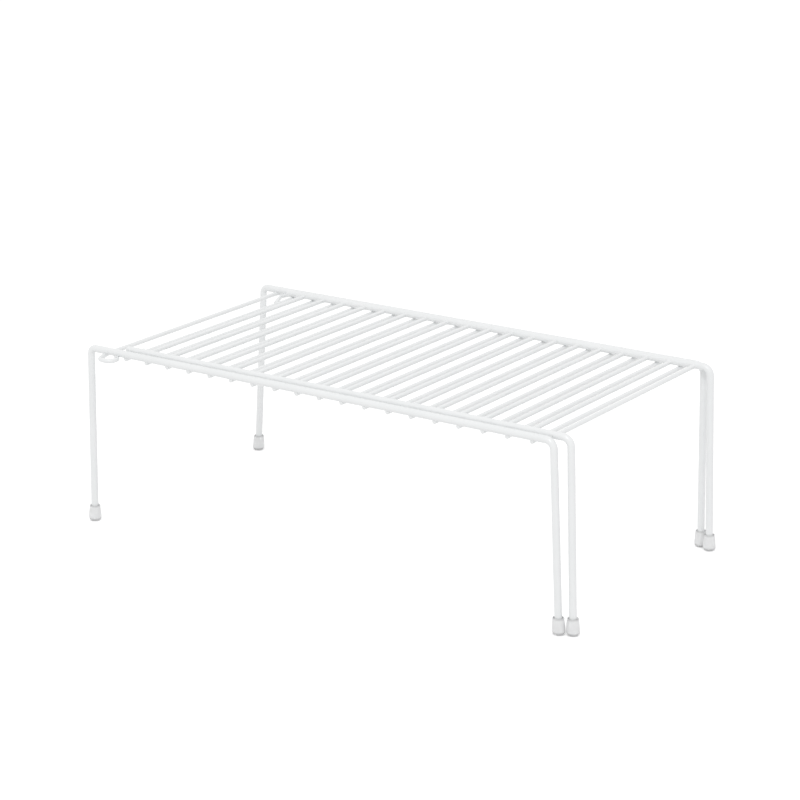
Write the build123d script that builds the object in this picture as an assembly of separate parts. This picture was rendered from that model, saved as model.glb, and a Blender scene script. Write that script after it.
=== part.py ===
"""Expandable wire shelf: a main frame and an extension frame that slides out of it.

Millimetres, +Z up. The origin is on the floor under the middle of the closed shelf.
X runs along the shelf in the direction the extension slides, Y runs from front to back.
"""

import os
from math import sqrt

from build123d import *

# ---- main frame -------------------------------------------------------------------------
rail_length = 400.0  # corner to corner of a main side wire
frame_depth = 215.5  # centre of the front rail to centre of the back rail
rail_height = 138.4  # centre of the main rails above the floor
side_wire_radius = 2.7
crosswire_radius = 1.65
left_bend_radius = 4.5  # on the wire's centre line
right_bend_radius = 6.5
leg_splay = 4.9  # how far a foot stands outside its corner, along X
main_leg_lean = 3.7  # how far a foot stands inside its rail, along Y

# ---- crosswires -------------------------------------------------------------------------
crosswire_count = 19
first_crosswire_x = 33.8  # from the left corner
last_crosswire_setback = 16.4  # from the right corner
weld_set = 1.15  # how deep a welded crosswire sits in its rail
crosswire_overhang = 0.9  # past the centre line of the rail above it

# ---- loop wire, the first crosswire of the main frame ---------------------------------
loop_spacing = 20.5  # from its long run to the first plain crosswire
loop_run_inset = 2.0  # where the long run turns aside into a loop, inside the rail
loop_shift = 4.4  # from the long run to the near corner of a loop
loop_width = 11.4
loop_reach = 12.6  # past the centre line of the rail
loop_shoulder = 4.5  # past the rail, where the far side of a loop turns back
loop_neck = 7.1  # from the long run to the strand that comes back under the rail
loop_neck_inset = 3.0
loop_tail = 25.0  # from the rail to the end of the wire
loop_tail_clearance = 0.05
loop_run_bend_radius = 14.0
loop_corner_bend_radius = 5.4
loop_shoulder_bend_radius = 5.0
loop_neck_bend_radius = 8.0

# ---- extension frame --------------------------------------------------------------------
slide_clearance = 0.3  # under the extension's rails and crosswires
rail_side_clearance = 1.9  # between the main rail and the extension rail beside it
extension_overhang = 9.1  # from the main right corner to the extension's corner
extension_tail_x = 29.0  # left end of the extension rails, from the left corner
extension_tip_chamfer = 0.8
extension_crosswire_shift = 12.1  # from a main crosswire to the extension's next one
extension_leg_lean = 0.35

# ---- foot caps --------------------------------------------------------------------------
cap_height = 12.3
cap_floor = 2.2
cap_wall = 1.0  # at the mouth
cap_flare = 1.0  # extra radius at the bottom
cap_bottom_chamfer = 0.9
cap_spacing = 0.5  # between neighbouring caps when the shelf is closed

# ---- worked out from the sizes above ----------------------------------------------------
cap_mouth_radius = side_wire_radius + cap_wall
cap_bottom_radius = cap_mouth_radius + cap_flare
front_y = -frame_depth / 2
back_y = frame_depth / 2

crosswire_z = rail_height - side_wire_radius - crosswire_radius + weld_set
crosswire_top = crosswire_z + crosswire_radius
extension_floor_z = crosswire_top + slide_clearance
extension_rail_z = extension_floor_z + side_wire_radius
extension_crosswire_z = extension_floor_z + crosswire_radius
extension_inset = 2 * side_wire_radius + rail_side_clearance

extension_foot_inset = extension_inset + extension_leg_lean
foot_row_step = extension_foot_inset - main_leg_lean
cap_centres = 2 * cap_bottom_radius + cap_spacing
foot_step = sqrt(cap_centres**2 - foot_row_step**2)
main_foot_reach = rail_length + leg_splay
extension_foot_reach = main_foot_reach + foot_step

# Left corner of the main frame, placed so that the closed shelf is centred on the origin.
left_x = -(extension_foot_reach - leg_splay) / 2
right_x = left_x + rail_length
extension_right_x = right_x + extension_overhang
extension_tip_x = left_x + extension_tail_x

crosswire_run = rail_length - last_crosswire_setback - first_crosswire_x
crosswire_pitch = crosswire_run / (crosswire_count - 1)


def along_x(radius, x_start, x_end, y, z):
    """Straight round bar parallel to X."""
    bar = Cylinder(radius, x_end - x_start, rotation=(0, 90, 0))
    return Pos((x_start + x_end) / 2, y, z) * bar


def bent_wire(points, bends, radius):
    """Round wire along straight runs joined by bends."""
    route = FilletPolyline(*points, radius=bends)
    section = Plane(origin=route @ 0, z_dir=route % 0) * Circle(radius)
    return sweep(section, path=route)


def leg_end(corner, foot_x, foot_y):
    """Point where a leg stops on the floor of its cap, on the line from corner to foot."""
    share = (corner[2] - cap_floor) / corner[2]
    x = corner[0] + (foot_x - corner[0]) * share
    y = corner[1] + (foot_y - corner[1]) * share
    return (x, y, cap_floor)


def inward(y, distance):
    """Move a Y coordinate towards the middle of the shelf."""
    return y - distance if y > 0 else y + distance


def main_side_wire(rail_y):
    """Leg, rail and leg of the main frame, bent from one rod."""
    foot_y = inward(rail_y, main_leg_lean)
    left_corner = (left_x, rail_y, rail_height)
    right_corner = (right_x, rail_y, rail_height)
    route = [
        leg_end(left_corner, left_x - leg_splay, foot_y),
        left_corner,
        right_corner,
        leg_end(right_corner, right_x + leg_splay, foot_y),
    ]
    return bent_wire(route, [left_bend_radius, right_bend_radius], side_wire_radius)


def extension_side_wire(outer_y):
    """Rail and leg of the extension, bent from one rod, with a chamfered free end."""
    rail_y = inward(outer_y, extension_inset)
    foot_y = inward(outer_y, extension_foot_inset)
    corner = (extension_right_x, rail_y, extension_rail_z)
    route = [
        (extension_tip_x, rail_y, extension_rail_z),
        corner,
        leg_end(corner, left_x + extension_foot_reach, foot_y),
    ]
    wire = bent_wire(route, [right_bend_radius], side_wire_radius)
    tip = wire.edges().sort_by(Axis.X)[0]
    return chamfer(tip, extension_tip_chamfer)


def main_rails():
    """The straight stretches of both main rails, used to saddle what is welded under them."""
    return [
        along_x(side_wire_radius, left_x, right_x, y, rail_height) for y in (front_y, back_y)
    ]


def extension_rails():
    """The straight stretches of both extension rails."""
    return [
        along_x(
            side_wire_radius,
            extension_tip_x,
            extension_right_x,
            inward(y, extension_inset),
            extension_rail_z,
        )
        for y in (front_y, back_y)
    ]


def main_crosswire(x):
    """Thin wire welded under both main rails, its ends just past them."""
    length = frame_depth + 2 * crosswire_overhang
    wire = Cylinder(crosswire_radius, length, rotation=(90, 0, 0))
    return Pos(x, 0, crosswire_z) * wire - main_rails()


def extension_crosswire(x):
    """Thin wire butted between the extension rails, clear of the main crosswires below."""
    length = frame_depth - 2 * extension_inset
    wire = Cylinder(crosswire_radius, length, rotation=(90, 0, 0))
    return Pos(x, 0, extension_crosswire_z) * wire - extension_rails()


def loop_wire():
    """First wire of the main frame, with a loop outside each rail and a tail inside it."""
    run_x = left_x + first_crosswire_x - loop_spacing
    near_x = run_x + loop_shift
    far_x = near_x + loop_width
    tail_x = left_x + first_crosswire_x - 2 * crosswire_radius - loop_tail_clearance

    def loop(rail_y):
        outer_y = inward(rail_y, -loop_reach)
        return [
            (tail_x, inward(rail_y, loop_tail), crosswire_z),
            (run_x + loop_neck, inward(rail_y, loop_neck_inset), crosswire_z),
            (far_x, inward(rail_y, -loop_shoulder), crosswire_z),
            (far_x, outer_y, crosswire_z),
            (near_x, outer_y, crosswire_z),
            (run_x, inward(rail_y, loop_run_inset), crosswire_z),
        ]

    bends = [
        loop_neck_bend_radius,
        loop_shoulder_bend_radius,
        loop_corner_bend_radius,
        loop_corner_bend_radius,
        loop_run_bend_radius,
    ]
    route = loop(front_y) + loop(back_y)[::-1]
    return bent_wire(route, bends + bends[::-1], crosswire_radius) - main_rails()


def foot_cap(x, y, side_wire):
    """Tapered push-on cap, its bore shaped by the leg that stands in it."""
    profile = Polyline(
        (0, 0),
        (cap_bottom_radius, 0),
        (cap_mouth_radius, cap_height),
        (0, cap_height),
        close=True,
    )
    cap = revolve(Plane.XZ * make_face(profile), Axis.Z)
    rims = cap.edges().filter_by(GeomType.CIRCLE).sort_by(Axis.Z)
    cap = chamfer(rims[0], cap_bottom_chamfer)
    return Pos(x, y, 0) * cap - side_wire


def write(shape, node):
    """Write one piece to its own file."""
    export_step(shape, f"parts/{node}.step")


os.makedirs("parts", exist_ok=True)

for side, rail_y in (("front", front_y), ("back", back_y)):
    main_wire = main_side_wire(rail_y)
    extension_wire = extension_side_wire(rail_y)
    write(main_wire, f"main_{side}_side_wire")
    write(extension_wire, f"extension_{side}_side_wire")

    main_foot_y = inward(rail_y, main_leg_lean)
    extension_foot_y = inward(rail_y, extension_foot_inset)
    left_foot_x = left_x - leg_splay
    right_foot_x = left_x + main_foot_reach
    outer_foot_x = left_x + extension_foot_reach
    write(foot_cap(left_foot_x, main_foot_y, main_wire), f"main_{side}_left_foot_cap")
    write(foot_cap(right_foot_x, main_foot_y, main_wire), f"main_{side}_right_foot_cap")
    write(foot_cap(outer_foot_x, extension_foot_y, extension_wire), f"extension_{side}_foot_cap")

write(loop_wire(), "main_loop_wire")

for index in range(crosswire_count):
    x = left_x + first_crosswire_x + index * crosswire_pitch
    write(main_crosswire(x), f"main_crosswire_{index + 1:02d}")
    shifted = x + extension_crosswire_shift
    write(extension_crosswire(shifted), f"extension_crosswire_{index + 1:02d}")
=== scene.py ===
"""Looks of the expandable wire shelf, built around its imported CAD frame.

Lengths are in millimetres, as in the CAD source, until add_piece turns them into metres.
"""

import math

import bmesh
import bpy
from mathutils import Matrix, Vector


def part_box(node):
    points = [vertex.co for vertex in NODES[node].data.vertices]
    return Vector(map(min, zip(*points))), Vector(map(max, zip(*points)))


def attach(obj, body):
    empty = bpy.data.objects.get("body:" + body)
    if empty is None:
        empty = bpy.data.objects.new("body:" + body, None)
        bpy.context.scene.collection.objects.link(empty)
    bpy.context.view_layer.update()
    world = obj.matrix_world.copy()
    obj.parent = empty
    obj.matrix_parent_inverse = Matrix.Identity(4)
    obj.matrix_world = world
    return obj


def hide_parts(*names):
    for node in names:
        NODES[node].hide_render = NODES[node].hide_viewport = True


MM = 0.001  # metres

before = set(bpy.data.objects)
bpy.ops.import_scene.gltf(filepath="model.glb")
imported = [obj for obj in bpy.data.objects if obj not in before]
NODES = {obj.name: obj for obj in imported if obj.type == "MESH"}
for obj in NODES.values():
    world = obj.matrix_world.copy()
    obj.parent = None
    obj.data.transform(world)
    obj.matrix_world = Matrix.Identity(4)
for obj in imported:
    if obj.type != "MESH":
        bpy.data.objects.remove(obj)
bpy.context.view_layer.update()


# ---- sizes, the same as in the CAD source -------------------------------------------------
SIDE_WIRE_RADIUS = 2.7
CROSSWIRE_RADIUS = 1.65
LEG_SPLAY = 4.9
MAIN_LEG_LEAN = 3.7
EXTENSION_LEG_LEAN = 0.35
CROSSWIRE_COUNT = 19

LOOP_RUN_INSET = 2.0
LOOP_SHIFT = 4.4
LOOP_WIDTH = 11.4
LOOP_REACH = 12.6
LOOP_SHOULDER = 4.5
LOOP_NECK = 7.1
LOOP_NECK_INSET = 3.0
LOOP_TAIL = 25.0
LOOP_TAIL_CLEARANCE = 0.05
LOOP_SPACING = 20.5
LOOP_BENDS = (8.0, 5.0, 5.4, 5.4, 14.0)  # neck, shoulder, outer corners, turn into the run

CAP_HEIGHT = 12.3
CAP_FLOOR = 2.2
CAP_FLARE = 1.0  # extra radius at the bottom


# ---- places read from the frame -----------------------------------------------------------
def box_mm(node):
    """Lowest and highest corners of a node at rest, in millimetres."""
    low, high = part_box(node)
    return low / MM, high / MM


def centre_mm(node):
    """Middle of a node's box, in millimetres."""
    low, high = box_mm(node)
    return (low + high) / 2


FRONT_Y = box_mm("main_front_side_wire")[0].y + SIDE_WIRE_RADIUS
BACK_Y = box_mm("main_back_side_wire")[1].y - SIDE_WIRE_RADIUS
RAIL_Z = box_mm("main_front_side_wire")[1].z - SIDE_WIRE_RADIUS
LEFT_X = centre_mm("main_front_left_foot_cap").x + LEG_SPLAY
EXTENSION_FRONT_Y = box_mm("extension_front_side_wire")[0].y + SIDE_WIRE_RADIUS
EXTENSION_BACK_Y = box_mm("extension_back_side_wire")[1].y - SIDE_WIRE_RADIUS
EXTENSION_RAIL_Z = box_mm("extension_front_side_wire")[1].z - SIDE_WIRE_RADIUS
CROSSWIRE_Z = centre_mm("main_crosswire_01").z
CROSSWIRE_END_Y = box_mm("main_crosswire_01")[1].y
EXTENSION_CROSSWIRE_Z = centre_mm("extension_crosswire_01").z


# ---- camera -----------------------------------------------------------------------------
# Angles and distance are from a point above the shelf's footprint. The distance is chosen
# with the focal length so that the far end of the shelf shrinks as it should. Distances here
# are in metres.
CAMERA_AZIMUTH = math.radians(33.722)
CAMERA_ELEVATION = math.radians(17.139)
CAMERA_ROLL = math.radians(0.145)
CAMERA_DISTANCE = 2.0616
CAMERA_LENS = 117.44
CAMERA_SENSOR = 36.0
CAMERA_CLIP = (0.01, 50.0)
AIM_FROM_CORNER = Vector((0.13722, 0.20948, 0.06788))  # from the front left rail corner


def add_camera():
    """Camera at the photograph's viewing angle."""
    aim = Vector((LEFT_X * MM, FRONT_Y * MM, 0.0)) + AIM_FROM_CORNER
    toward = Vector(
        (
            math.sin(CAMERA_AZIMUTH) * math.cos(CAMERA_ELEVATION),
            -math.cos(CAMERA_AZIMUTH) * math.cos(CAMERA_ELEVATION),
            math.sin(CAMERA_ELEVATION),
        )
    )
    data = bpy.data.cameras.new("camera")
    data.lens = CAMERA_LENS
    data.sensor_width = CAMERA_SENSOR
    data.clip_start, data.clip_end = CAMERA_CLIP
    camera = bpy.data.objects.new("camera", data)
    bpy.context.scene.collection.objects.link(camera)
    turn = toward.to_track_quat("Z", "Y").to_matrix().to_4x4()
    spin = Matrix.Rotation(CAMERA_ROLL, 4, "Z")
    camera.matrix_world = Matrix.Translation(aim + toward * CAMERA_DISTANCE) @ turn @ spin
    bpy.context.scene.camera = camera


# ---- materials --------------------------------------------------------------------------
# A noise is its scale and its detail. A relief is its strength and its height in metres.
WIRE_TONES = ((0.848, 0.862, 0.866), (0.872, 0.882, 0.886))
WIRE_TONE_NOISE = (38.0, 4.0)
WIRE_ROUGHNESS = (0.30, 0.38)
WIRE_ROUGHNESS_NOISE = (120.0, 3.0)
WIRE_NOISE_RANGE = (0.2, 0.8)
WIRE_COAT = 0.35
WIRE_COAT_ROUGHNESS = 0.10
WIRE_PEEL_NOISE = (900.0, 3.0)
WIRE_PEEL = (0.05, 0.0001)

# Greyness of a foot cap from its base to its rim; the darker base and rim are painted shade.
CAP_GREY_AND_PAINTED_SHADE = ((0.0, 0.62), (0.16, 0.74), (0.24, 0.98), (0.88, 0.99), (0.94, 0.85), (1.0, 0.80))
CAP_COOLNESS = (1.0, 1.004, 1.008)  # share of red, green and blue in each grey
CAP_CLOUDS = (0.97, 1.0)
CAP_CLOUD_NOISE = (260.0, 3.0)
CAP_CLOUD_RANGE = (0.3, 0.7)
CAP_ROUGHNESS = 0.32
CAP_IOR = 1.45
CAP_TRANSMISSION = 0.20
CAP_FROST_NOISE = (700.0, 2.0)
CAP_FROST = (0.12, 0.0001)


def new_material(name):
    """Empty node material, its shader and its node tree."""
    material = bpy.data.materials.new(name)
    material.use_nodes = True
    tree = material.node_tree
    tree.nodes.clear()
    output = tree.nodes.new("ShaderNodeOutputMaterial")
    shader = tree.nodes.new("ShaderNodeBsdfPrincipled")
    tree.links.new(shader.outputs["BSDF"], output.inputs["Surface"])
    return material, shader, tree


def noise(tree, scale_and_detail):
    """Noise texture over the object's own coordinates."""
    scale, detail = scale_and_detail
    coordinates = tree.nodes.new("ShaderNodeTexCoord")
    texture = tree.nodes.new("ShaderNodeTexNoise")
    texture.inputs["Scale"].default_value = scale
    texture.inputs["Detail"].default_value = detail
    tree.links.new(coordinates.outputs["Object"], texture.inputs["Vector"])
    return texture


def grey(tone):
    """Red, green and blue of an even grey."""
    return (tone, tone, tone)


def ramp(tree, texture, span, colours):
    """Soft change from one colour to another over a span of a texture's values."""
    node = tree.nodes.new("ShaderNodeValToRGB")
    node.color_ramp.interpolation = "EASE"
    for stop, place, colour in zip(node.color_ramp.elements, span, colours):
        stop.position = place
        stop.color = (*colour, 1.0)
    tree.links.new(texture.outputs["Fac"], node.inputs["Fac"])
    return node


def add_bump(tree, shader, texture, relief):
    """Fine relief from a texture."""
    strength, distance = relief
    bump = tree.nodes.new("ShaderNodeBump")
    bump.inputs["Strength"].default_value = strength
    bump.inputs["Distance"].default_value = distance
    tree.links.new(texture.outputs["Fac"], bump.inputs["Height"])
    tree.links.new(bump.outputs["Normal"], shader.inputs["Normal"])


def coated_wire_material():
    """White coating on steel wire: glossy, a little uneven, with a fine orange peel."""
    material, shader, tree = new_material("coated_wire")
    tone = ramp(tree, noise(tree, WIRE_TONE_NOISE), WIRE_NOISE_RANGE, WIRE_TONES)
    tree.links.new(tone.outputs["Color"], shader.inputs["Base Color"])
    glossy, matt = WIRE_ROUGHNESS
    roughness = ramp(
        tree, noise(tree, WIRE_ROUGHNESS_NOISE), WIRE_NOISE_RANGE, (grey(glossy), grey(matt))
    )
    tree.links.new(roughness.outputs["Color"], shader.inputs["Roughness"])
    shader.inputs["Coat Weight"].default_value = WIRE_COAT
    shader.inputs["Coat Roughness"].default_value = WIRE_COAT_ROUGHNESS
    add_bump(tree, shader, noise(tree, WIRE_PEEL_NOISE), WIRE_PEEL)
    return material


def foot_cap_material():
    """Frosted, colourless soft vinyl, with painted shade that greys its base and its rim."""
    material, shader, tree = new_material("foot_cap")
    coordinates = tree.nodes.new("ShaderNodeTexCoord")
    split = tree.nodes.new("ShaderNodeSeparateXYZ")
    tree.links.new(coordinates.outputs["Object"], split.inputs["Vector"])
    height = tree.nodes.new("ShaderNodeMapRange")
    height.inputs["From Max"].default_value = CAP_HEIGHT * MM
    tree.links.new(split.outputs["Z"], height.inputs["Value"])
    # Painted shade: a ramp over height darkens the base and the rim of the cap.
    grey_and_painted_shade = tree.nodes.new("ShaderNodeValToRGB")
    stops = grey_and_painted_shade.color_ramp.elements
    for place, _ in CAP_GREY_AND_PAINTED_SHADE[1:-1]:
        stops.new(place)
    for stop, (place, tone) in zip(stops, CAP_GREY_AND_PAINTED_SHADE):
        stop.position = place
        stop.color = (*(min(1.0, tone * share) for share in CAP_COOLNESS), 1.0)
    tree.links.new(height.outputs["Result"], grey_and_painted_shade.inputs["Fac"])
    dull, clear = CAP_CLOUDS
    cloud = ramp(tree, noise(tree, CAP_CLOUD_NOISE), CAP_CLOUD_RANGE, (grey(dull), grey(clear)))
    both = tree.nodes.new("ShaderNodeMix")
    both.data_type = "RGBA"
    both.blend_type = "MULTIPLY"
    both.inputs["Factor"].default_value = 1.0
    tree.links.new(grey_and_painted_shade.outputs["Color"], both.inputs["A"])
    tree.links.new(cloud.outputs["Color"], both.inputs["B"])
    tree.links.new(both.outputs["Result"], shader.inputs["Base Color"])
    shader.inputs["Roughness"].default_value = CAP_ROUGHNESS
    shader.inputs["IOR"].default_value = CAP_IOR
    shader.inputs["Transmission Weight"].default_value = CAP_TRANSMISSION
    add_bump(tree, shader, noise(tree, CAP_FROST_NOISE), CAP_FROST)
    return material


COATED_WIRE = coated_wire_material()
FOOT_CAP = foot_cap_material()


def dress(node, material):
    """Give a CAD node its material."""
    thing = NODES[node]
    thing.data.materials.clear()
    thing.data.materials.append(material)


for node in NODES:
    dress(node, FOOT_CAP if node.endswith("foot_cap") else COATED_WIRE)


# ---- mesh code --------------------------------------------------------------------------
SHARP_ANGLE = 50.0  # edges that turn more than this stay crisp


def add_piece(name, vertices, faces, material, body):
    """Closed smooth mesh that rides on a body. The vertices are in millimetres."""
    mesh = bpy.data.meshes.new(name)
    mesh.from_pydata([Vector(vertex) * MM for vertex in vertices], [], faces)
    shape = bmesh.new()
    shape.from_mesh(mesh)
    bmesh.ops.recalc_face_normals(shape, faces=shape.faces)
    shape.to_mesh(mesh)
    shape.free()
    mesh.shade_smooth()
    mesh.set_sharp_from_angle(angle=math.radians(SHARP_ANGLE))
    mesh.materials.append(material)
    piece = bpy.data.objects.new(name, mesh)
    bpy.context.scene.collection.objects.link(piece)
    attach(piece, body)
    return piece


class Shape:
    """Vertices and faces that grow part by part."""

    def __init__(self):
        self.vertices = []
        self.faces = []

    def add(self, vertices, faces):
        start = len(self.vertices)
        self.vertices += vertices
        self.faces += [tuple(start + corner for corner in face) for face in faces]


def add_wire_piece(name, shape, body):
    """Piece of coated wire that rides on a body."""
    add_piece(name, shape.vertices, shape.faces, COATED_WIRE, body)


def tube_faces(rings, width, closed):
    """Faces of a tube of rings of width points, its ends capped unless it closes on itself."""
    faces = []
    for ring in range(rings if closed else rings - 1):
        after = (ring + 1) % rings
        for side in range(width):
            beside = (side + 1) % width
            faces.append(
                (
                    ring * width + side,
                    ring * width + beside,
                    after * width + beside,
                    after * width + side,
                )
            )
    if not closed:
        faces.append(tuple(range(width)))
        faces.append(tuple(range((rings - 1) * width, rings * width)))
    return faces


def arc(centre_r, centre_z, radius, start, end, steps):
    """Points of an arc in a lathe profile, angles in degrees from the outward direction."""
    points = []
    for step in range(steps + 1):
        angle = math.radians(start + (end - start) * step / steps)
        points.append((centre_r + radius * math.cos(angle), centre_z + radius * math.sin(angle)))
    return points


def lathe(profile, steps):
    """Surface of revolution about Z whose profile starts and ends on the axis."""
    (_, start_z), *rings, (_, end_z) = profile
    vertices = [Vector((0, 0, start_z)), Vector((0, 0, end_z))]
    for radius, z in rings:
        for step in range(steps):
            angle = math.tau * step / steps
            vertices.append(Vector((radius * math.cos(angle), radius * math.sin(angle), z)))
    faces = []
    for step in range(steps):
        beside = (step + 1) % steps
        last = 2 + (len(rings) - 1) * steps
        faces.append((0, 2 + beside, 2 + step))
        faces.append((1, last + step, last + beside))
        for ring in range(len(rings) - 1):
            low = 2 + ring * steps
            high = low + steps
            faces.append((low + step, low + beside, high + beside, high + step))
    return vertices, faces


# ---- foot caps ----------------------------------------------------------------------------
CAP_BOTTOM_ROUND = 2.8
CAP_BASE_EXTRA = 0.15  # the soft base stands this far outside the CAD cap
CAP_FLAT_SHARE = 0.5  # of the flat base, where the mesh has a ring
CAP_BULGE = 0.10  # of the wall, half way up
CAP_WALL_SHARES = (0.25, 0.5, 0.75, 0.93)  # rings on the wall, as shares of its height
CAP_LIP = 0.24  # radius of the rounded rim
CAP_MOUTH_EXTRA = 0.36  # the soft rim stands this far outside the CAD cap's mouth
CAP_MOUTH_GAP = 0.38  # between the leg and the rim
CAP_MOUTH_DEPTH = 0.6  # of the wide part of the bore, below the rim
CAP_BORE_GAP = 0.12  # between the leg and the cap lower down
CAP_BORE_DEPTH = 3.0  # where the bore has closed to that gap, below the rim
CAP_BORE_FILLET = 0.5
CAP_SEAT_GAP = 0.05  # between the leg's end and the bore's floor
CAP_STEPS = 64  # round the cap
CAP_ROUND_STEPS = 8  # along a rounded edge
CAP_FILLET_STEPS = 4


def cap_profile(bottom_radius, mouth_radius, height):
    """Half section of a cap: base, rounded corner, tapering wall, rim and bore."""
    lip_outer = mouth_radius - CAP_LIP
    bore_mouth = SIDE_WIRE_RADIUS + CAP_MOUTH_GAP
    bore_bottom = SIDE_WIRE_RADIUS + CAP_BORE_GAP
    flat_radius = bottom_radius - CAP_BOTTOM_ROUND
    wall_bottom = CAP_BOTTOM_ROUND
    wall_top = height - CAP_LIP
    seat = CAP_FLOOR - CAP_SEAT_GAP
    fillet_radius = bore_bottom - CAP_BORE_FILLET
    profile = [(0, 0), (flat_radius * CAP_FLAT_SHARE, 0)]
    profile += arc(flat_radius, wall_bottom, CAP_BOTTOM_ROUND, -90, 0, CAP_ROUND_STEPS)
    for share in CAP_WALL_SHARES:
        bulge = CAP_BULGE * math.sin(math.pi * share)
        radius = bottom_radius + (mouth_radius - bottom_radius) * share + bulge
        profile.append((radius, wall_bottom + (wall_top - wall_bottom) * share))
    profile += arc(lip_outer, wall_top, CAP_LIP, 0, 180, CAP_ROUND_STEPS)
    profile.append((bore_mouth, wall_top - CAP_MOUTH_DEPTH))
    profile.append((bore_bottom, wall_top - CAP_BORE_DEPTH))
    profile.append((bore_bottom, CAP_FLOOR + CAP_BORE_FILLET))
    profile += arc(
        fillet_radius, seat + CAP_BORE_FILLET, CAP_BORE_FILLET, 0, -90, CAP_FILLET_STEPS
    )
    profile.append((0, seat))
    return profile


def add_foot_cap(node, body, lean):
    """Soft cap in line with the leg that stands in it; lean is the leg's run for each rise."""
    low, high = box_mm(node)
    cad_radius = (high.x - low.x) / 2
    bottom_radius = cad_radius + CAP_BASE_EXTRA
    mouth_radius = cad_radius - CAP_FLARE + CAP_MOUTH_EXTRA
    profile = cap_profile(bottom_radius, mouth_radius, high.z - low.z)
    vertices, faces = lathe(profile, CAP_STEPS)
    place = Vector(((low.x + high.x) / 2, (low.y + high.y) / 2, low.z))
    moved = [place + vertex + lean * vertex.z for vertex in vertices]
    cap = add_piece(f"{node}_soft", moved, faces, FOOT_CAP, body)
    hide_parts(node)


def add_foot_caps():
    """All six soft caps."""
    for side, outward in (("front", -1), ("back", 1)):
        lean_x = LEG_SPLAY / RAIL_Z
        lean_y = outward * MAIN_LEG_LEAN / RAIL_Z
        extension_lean = Vector(
            (-LEG_SPLAY / EXTENSION_RAIL_Z, outward * EXTENSION_LEG_LEAN / EXTENSION_RAIL_Z, 0)
        )
        add_foot_cap(f"main_{side}_left_foot_cap", "main_frame", Vector((lean_x, lean_y, 0)))
        add_foot_cap(f"main_{side}_right_foot_cap", "main_frame", Vector((-lean_x, lean_y, 0)))
        add_foot_cap(f"extension_{side}_foot_cap", "extension_frame", extension_lean)


add_foot_caps()


# ---- welds under the coating ----------------------------------------------------------------
# Each weld is a concave fillet along the crease between a wire and a rail. It is worked out
# about the rail's own axis: X along the rail, Y towards the middle of the shelf, Z up.
WELD_SIZE = 0.5  # from the crease to the fillet's edge on either surface
WELD_SINK = 0.03  # of that edge into the surface
WELD_CORE = 0.5  # how far the fillet's hidden core lies inside, as a share of its size
WELD_STEPS = 40  # along a crease
WELD_SECTION = 5  # points across a fillet
WELD_GAIN = 1.1  # share of full size for the sine of the angle between the surfaces
BISECTIONS = 40  # halvings that find where a crease ends
BUTT_WELD_LIMIT = math.radians(150)  # either way from the top of a butted wire
RAIL_AXIS = Vector((1, 0, 0))
CROSSWIRE_AXIS = Vector((0, 1, 0))
NO_AXIS = Vector((0, 0, 0))  # a dome curves both ways
END_DOME = 0.7  # length of a rounded wire end


def onto_surface(point, step, normal, axis, radius):
    """A point one step away over a round surface, sunk a little into it."""
    across = step - axis * step.dot(axis)
    return point + step - normal * (WELD_SINK + across.length_squared / (2 * radius))


def crease_section(point, wire_normal, rail_normal, wire_axis):
    """Points of the fillet's section at one point of a crease."""
    along = wire_normal.cross(rail_normal)
    reach = WELD_SIZE * min(1.0, along.length * WELD_GAIN)
    along.normalize()
    on_wire = along.cross(wire_normal)
    on_wire *= math.copysign(reach, on_wire.dot(rail_normal))
    on_rail = along.cross(rail_normal)
    on_rail *= math.copysign(reach, on_rail.dot(wire_normal))
    start = onto_surface(point, on_wire, wire_normal, wire_axis, CROSSWIRE_RADIUS)
    end = onto_surface(point, on_rail, rail_normal, RAIL_AXIS, SIDE_WIRE_RADIUS)
    section = []
    for step in range(WELD_SECTION):
        t = step / (WELD_SECTION - 1)
        section.append(start * (1 - t) ** 2 + point * (2 * t * (1 - t)) + end * t**2)
    section.append(point - (wire_normal + rail_normal) * reach * WELD_CORE)
    return section


def add_weld(shape, samples, closed, place):
    """Fillet along a crease: each sample is a point, both normals and the wire's axis."""
    vertices = []
    for sample in samples:
        vertices += [place(corner) for corner in crease_section(*sample)]
    shape.add(vertices, tube_faces(len(samples), WELD_SECTION + 1, closed))


def rail_normal(point):
    """Outward normal of the rail's surface."""
    return Vector((0, point.y, point.z)).normalized()


def under_rail_crease(drop, wire_end):
    """Closed crease of a wire that ends in a dome at wire_end under the rail."""

    def section_radius_squared(y):
        past = max(0.0, wire_end - y)
        return CROSSWIRE_RADIUS**2 * (1 - (past / END_DOME) ** 2)

    def height_over_wire(y):
        return drop - math.sqrt(SIDE_WIRE_RADIUS**2 - y**2)

    inner = math.sqrt(SIDE_WIRE_RADIUS**2 - (drop - CROSSWIRE_RADIUS) ** 2)
    near, far = wire_end, wire_end - END_DOME
    for _ in range(BISECTIONS):
        middle = (near + far) / 2
        if section_radius_squared(middle) > height_over_wire(middle) ** 2:
            near = middle
        else:
            far = middle
    outer = near

    samples = []
    for step in range(WELD_STEPS):
        turn = math.tau * step / WELD_STEPS
        y = (inner + outer) / 2 + (inner - outer) / 2 * math.cos(turn)
        over = height_over_wire(y)
        x = math.sqrt(max(0.0, section_radius_squared(y) - over**2))
        x = math.copysign(x, math.sin(turn))
        past = max(0.0, wire_end - y)
        slope = -((CROSSWIRE_RADIUS / END_DOME) ** 2) * past
        point = Vector((x, y, over - drop))
        wire_normal = Vector((x, slope, over)).normalized()
        axis = NO_AXIS if past else CROSSWIRE_AXIS
        samples.append((point, wire_normal, rail_normal(point), axis))
    return samples


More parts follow.
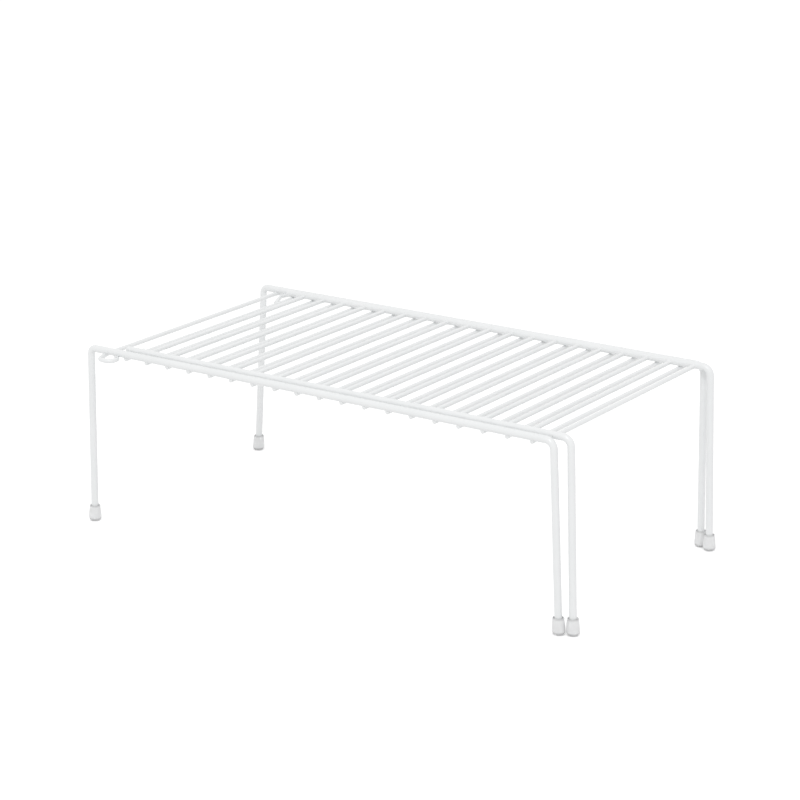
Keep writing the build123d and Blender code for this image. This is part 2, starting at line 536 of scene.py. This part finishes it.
def butt_crease(drop, limit):
    """Open crease of a wire that ends against the rail's inner side."""
    samples = []
    for step in range(WELD_STEPS + 1):
        turn = limit * (2 * step / WELD_STEPS - 1)
        x = CROSSWIRE_RADIUS * math.sin(turn)
        z = CROSSWIRE_RADIUS * math.cos(turn) - drop
        point = Vector((x, math.sqrt(SIDE_WIRE_RADIUS**2 - z**2), z))
        wire_normal = Vector((math.sin(turn), 0, math.cos(turn)))
        samples.append((point, wire_normal, rail_normal(point), CROSSWIRE_AXIS))
    return samples


def rail_place(x, rail_y, rail_z):
    """Function that moves a point from a rail's own axes to its place on the shelf."""
    inward = -1 if rail_y > 0 else 1
    return lambda point: Vector((x + point.x, rail_y + inward * point.y, rail_z + point.z))


def add_crosswire_welds(name, body, crosswires, rail_y, rail_z, crease, closed):
    """Fillets of all crosswires along one rail, as one piece."""
    shape = Shape()
    for node in crosswires:
        add_weld(shape, crease, closed, rail_place(centre_mm(node).x, rail_y, rail_z))
    add_wire_piece(name, shape, body)


MAIN_CROSSWIRES = [f"main_crosswire_{n:02d}" for n in range(1, CROSSWIRE_COUNT + 1)]
EXTENSION_CROSSWIRES = [f"extension_crosswire_{n:02d}" for n in range(1, CROSSWIRE_COUNT + 1)]
CROSSWIRE_DROP = RAIL_Z - CROSSWIRE_Z
EXTENSION_DROP = EXTENSION_RAIL_Z - EXTENSION_CROSSWIRE_Z


def add_rail_welds():
    """Welds of the plain crosswires along all four rails."""
    main_crease = under_rail_crease(CROSSWIRE_DROP, BACK_Y - CROSSWIRE_END_Y)
    extension_crease = butt_crease(EXTENSION_DROP, BUTT_WELD_LIMIT)
    for side, rail_y, extension_y in (
        ("front", FRONT_Y, EXTENSION_FRONT_Y),
        ("back", BACK_Y, EXTENSION_BACK_Y),
    ):
        add_crosswire_welds(
            f"main_{side}_welds", "main_frame", MAIN_CROSSWIRES, rail_y, RAIL_Z, main_crease, True
        )
        add_crosswire_welds(
            f"extension_{side}_welds",
            "extension_frame",
            EXTENSION_CROSSWIRES,
            extension_y,
            EXTENSION_RAIL_Z,
            extension_crease,
            False,
        )


add_rail_welds()


# ---- rounded wire ends ----------------------------------------------------------------------
DOME_SEAT = 0.4  # how far a dome reaches into its wire
DOME_SEAT_SHARE = 0.8  # of the wire's radius, at the dome's hidden flat side
DOME_STEPS = 32  # round the wire
DOME_RINGS = 7  # from the wire to the tip


def dome(place, direction):
    """Closed rounded end of a crosswire, its flat side inside the wire."""
    seat_radius = CROSSWIRE_RADIUS * DOME_SEAT_SHARE
    profile = [(0, -DOME_SEAT), (seat_radius, -DOME_SEAT), (CROSSWIRE_RADIUS, 0)]
    for step in range(1, DOME_RINGS):
        angle = math.pi / 2 * step / DOME_RINGS
        profile.append((CROSSWIRE_RADIUS * math.cos(angle), END_DOME * math.sin(angle)))
    profile.append((0, END_DOME))
    vertices, faces = lathe(profile, DOME_STEPS)
    turn = direction.to_track_quat("Z", "Y").to_matrix()
    return [place + turn @ vertex for vertex in vertices], faces


def add_crosswire_ends():
    """Rounded ends of the main frame's plain crosswires, as one piece."""
    ends = Shape()
    for node in MAIN_CROSSWIRES:
        for outward in (-1, 1):
            place = Vector((centre_mm(node).x, outward * CROSSWIRE_END_Y, CROSSWIRE_Z))
            ends.add(*dome(place, Vector((0, outward, 0))))
    add_wire_piece("main_crosswire_ends", ends, "main_frame")


add_crosswire_ends()


# ---- loop wire: its welds and its ends ------------------------------------------------------
ROUTE_STEP = 0.1  # between neighbouring places on a route
CROSSING_REACH = 8.0  # along the wire, either way from where it passes under a rail
CREASE_END_GAP = 1e-4  # share of a crease left out at its ends, where the wire leaves the rail


def rounded_route(points, bends):
    """Places and directions along straight runs joined by bends, close together."""
    places = [points[0]]
    for before, corner, after, radius in zip(points, points[1:], points[2:], bends):
        into = (corner - before).normalized()
        out = (after - corner).normalized()
        turn = math.acos(max(-1.0, min(1.0, into.dot(out))))
        setback = radius * math.tan(turn / 2)
        start = corner - into * setback
        bow = (out - into * math.cos(turn)).normalized()
        count = max(2, round(radius * turn / ROUTE_STEP))
        straight = (start - places[-1]).length
        runs = max(1, round(straight / ROUTE_STEP))
        origin = places[-1]
        places += [origin.lerp(start, step / runs) for step in range(1, runs + 1)]
        for step in range(1, count + 1):
            angle = turn * step / count
            places.append(
                start + into * radius * math.sin(angle) + bow * radius * (1 - math.cos(angle))
            )
    origin = places[-1]
    runs = max(1, round((points[-1] - origin).length / ROUTE_STEP))
    places += [origin.lerp(points[-1], step / runs) for step in range(1, runs + 1)]
    return places


def loop_route():
    """Route of one end of the loop wire about its rail, tail first."""
    run_x = centre_mm("main_crosswire_01").x - LOOP_SPACING
    near_x = run_x + LOOP_SHIFT
    far_x = near_x + LOOP_WIDTH
    tail_x = centre_mm("main_crosswire_01").x - 2 * CROSSWIRE_RADIUS - LOOP_TAIL_CLEARANCE
    return [
        Vector((tail_x, LOOP_TAIL, 0)),
        Vector((run_x + LOOP_NECK, LOOP_NECK_INSET, 0)),
        Vector((far_x, -LOOP_SHOULDER, 0)),
        Vector((far_x, -LOOP_REACH, 0)),
        Vector((near_x, -LOOP_REACH, 0)),
        Vector((run_x, LOOP_RUN_INSET, 0)),
        Vector((run_x, LOOP_TAIL, 0)),
    ]


def crossing_crease(places, drop):
    """Closed crease of a wire that passes under the rail along places."""
    widest = math.acos((drop - SIDE_WIRE_RADIUS) / CROSSWIRE_RADIUS)
    half = WELD_STEPS // 2
    entering, leaving = [], []
    for step in range(half + 1):
        turn = widest * (1 - CREASE_END_GAP) * (2 * step / half - 1)
        z = CROSSWIRE_RADIUS * math.cos(turn) - drop
        reach = math.sqrt(SIDE_WIRE_RADIUS**2 - z**2)
        strip = []
        for here, there in zip(places, places[1:]):
            along = (there - here).normalized()
            side = Vector((along.y, -along.x, 0))
            surface = here + side * CROSSWIRE_RADIUS * math.sin(turn)
            wire_normal = side * math.sin(turn) + Vector((0, 0, math.cos(turn)))
            strip.append((abs(surface.y) - reach, surface, wire_normal, along))
        first = last = min(range(len(strip)), key=lambda n: abs(strip[n][1].y))
        while strip[first - 1][0] < 0:
            first -= 1
        while strip[last + 1][0] < 0:
            last += 1
        for kept, inner, outer in ((entering, first, first - 1), (leaving, last, last + 1)):
            share = strip[inner][0] / (strip[inner][0] - strip[outer][0])
            surface = strip[inner][1].lerp(strip[outer][1], max(0.0, share))
            point = Vector((surface.x, math.copysign(reach, surface.y), z))
            kept.append((point, strip[inner][2], rail_normal(point), strip[inner][3]))
    return entering + leaving[-2:0:-1]


def rail_crossings(places):
    """Stretches of a route on both sides of each place where it passes under the rail."""
    half = round(CROSSING_REACH / ROUTE_STEP)
    stretches = []
    for n in range(half, len(places) - half):
        if places[n].y * places[n + 1].y <= 0:
            stretches.append(places[n - half : n + half])
    return stretches


def add_loop_details():
    """Welds of the loop wire under both rails, and its rounded tail ends."""
    route = loop_route()
    crossings = rail_crossings(rounded_route(route, LOOP_BENDS))
    tail_direction = (route[0] - route[1]).normalized()
    welds, tails = Shape(), Shape()
    for rail_y in (FRONT_Y, BACK_Y):
        inward = -1 if rail_y > 0 else 1
        for stretch in crossings:
            crease = crossing_crease(stretch, CROSSWIRE_DROP)
            add_weld(welds, crease, True, rail_place(0, rail_y, RAIL_Z))
        place = Vector((route[0].x, rail_y + inward * route[0].y, CROSSWIRE_Z))
        tails.add(*dome(place, Vector((tail_direction.x, inward * tail_direction.y, 0))))
    add_wire_piece("main_loop_welds", welds, "main_frame")
    add_wire_piece("main_loop_tail_ends", tails, "main_frame")


add_loop_details()


# ---- stage ------------------------------------------------------------------------------
# Places and sizes are in metres here, and the power in watts.
FLOOR_SIZE = 8.0
FLOOR_WHITE = 0.86
FLOOR_GLOW = 0.36  # added where the floor is seen, so that it shows as white
STUDIO_LIGHT = 0.80
KEY_PLACE = (1.0, -2.1, 3.2)
KEY_SIZE = 1.2
KEY_POWER = 33.0


def seen_directly(tree):
    """Value that is 1 for rays from the camera, from gloss and through clear material."""
    path = tree.nodes.new("ShaderNodeLightPath")
    total = path.outputs["Is Camera Ray"]
    for ray in ("Is Glossy Ray", "Is Transmission Ray"):
        larger = tree.nodes.new("ShaderNodeMath")
        larger.operation = "MAXIMUM"
        tree.links.new(total, larger.inputs[0])
        tree.links.new(path.outputs[ray], larger.inputs[1])
        total = larger.outputs[0]
    return total


def add_floor():
    """Plain white floor that keeps the shelf's shadow."""
    material = bpy.data.materials.new("floor")
    material.use_nodes = True
    tree = material.node_tree
    tree.nodes.clear()
    output = tree.nodes.new("ShaderNodeOutputMaterial")
    diffuse = tree.nodes.new("ShaderNodeBsdfDiffuse")
    diffuse.inputs["Color"].default_value = (FLOOR_WHITE, FLOOR_WHITE, FLOOR_WHITE, 1.0)
    glow = tree.nodes.new("ShaderNodeEmission")
    both = tree.nodes.new("ShaderNodeAddShader")
    strength = tree.nodes.new("ShaderNodeMath")
    strength.operation = "MULTIPLY"
    strength.inputs[1].default_value = FLOOR_GLOW
    tree.links.new(seen_directly(tree), strength.inputs[0])
    tree.links.new(strength.outputs[0], glow.inputs["Strength"])
    tree.links.new(diffuse.outputs[0], both.inputs[0])
    tree.links.new(glow.outputs[0], both.inputs[1])
    tree.links.new(both.outputs[0], output.inputs["Surface"])
    mesh = bpy.data.meshes.new("floor")
    half = FLOOR_SIZE / 2
    corners = [(-half, -half, 0), (half, -half, 0), (half, half, 0), (-half, half, 0)]
    mesh.from_pydata(corners, [], [(0, 1, 2, 3)])
    mesh.materials.append(material)
    floor = bpy.data.objects.new("floor", mesh)
    bpy.context.scene.collection.objects.link(floor)


def add_world():
    """Even studio light, seen as pure white where a ray passes the floor."""
    world = bpy.data.worlds.new("studio")
    bpy.context.scene.world = world
    world.use_nodes = True
    tree = world.node_tree
    tree.nodes.clear()
    output = tree.nodes.new("ShaderNodeOutputWorld")
    mix = tree.nodes.new("ShaderNodeMixShader")
    for socket, strength in ((1, STUDIO_LIGHT), (2, 1.0)):
        light = tree.nodes.new("ShaderNodeBackground")
        light.inputs["Color"].default_value = (1.0, 1.0, 1.0, 1.0)
        light.inputs["Strength"].default_value = strength
        tree.links.new(light.outputs[0], mix.inputs[socket])
    tree.links.new(seen_directly(tree), mix.inputs["Fac"])
    tree.links.new(mix.outputs[0], output.inputs["Surface"])


def add_area_light(name, place, size, power):
    """Square soft light that points at the middle of the shelf."""
    data = bpy.data.lights.new(name, "AREA")
    data.size = size
    data.energy = power
    light = bpy.data.objects.new(name, data)
    bpy.context.scene.collection.objects.link(light)
    aim = Vector((0.0, 0.0, RAIL_Z * MM))
    away = Vector(place) - aim
    turn = away.to_track_quat("Z", "Y").to_matrix().to_4x4()
    light.matrix_world = Matrix.Translation(Vector(place)) @ turn


add_camera()
add_floor()
add_world()
add_area_light("key", KEY_PLACE, KEY_SIZE, KEY_POWER)
bpy.context.scene.view_settings.view_transform = "Standard"
